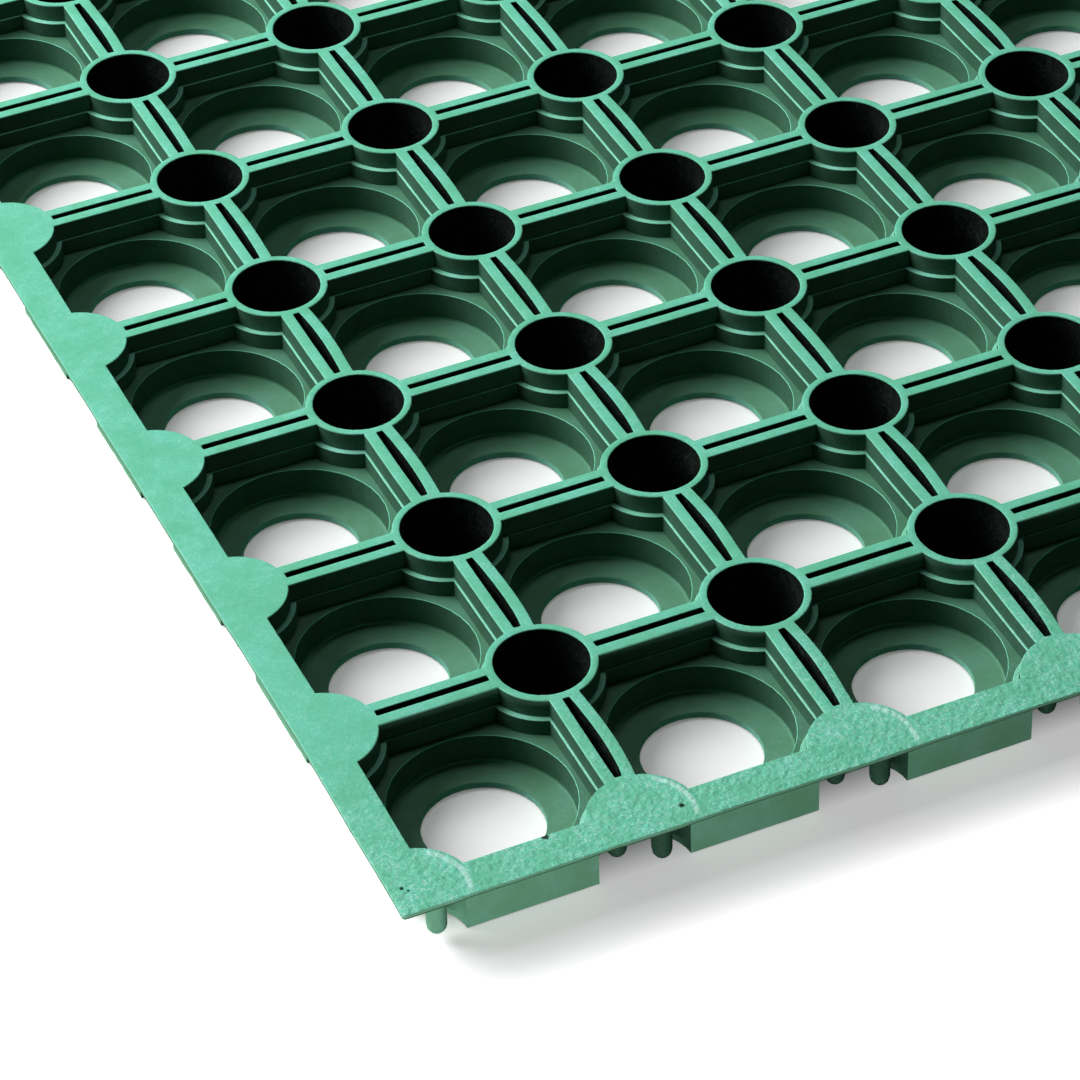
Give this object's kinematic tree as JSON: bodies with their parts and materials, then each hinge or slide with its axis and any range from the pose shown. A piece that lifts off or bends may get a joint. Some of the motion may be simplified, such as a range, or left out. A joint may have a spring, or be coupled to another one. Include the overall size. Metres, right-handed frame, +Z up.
{
  "type": "rubber grass mat",
  "caption": "Moulded green rubber grass mat: a flat grid of open stepped cups with drain holes, joined by rings and double ribs inside a thin flat rim.",
  "frame": {"origin": "middle of the underside, on the floor that the feet stand on", "axes": "+X across the mat, +Y along its longer side, +Z up, out of the open face of the cups"},
  "size_m": [0.401, 0.5946, 0.023],
  "materials": {
    "rubber": "matt moulded, mint green"
  },
  "bodies": {
    "root": {"mat": "rubber"}
  },
  "joints": []
}
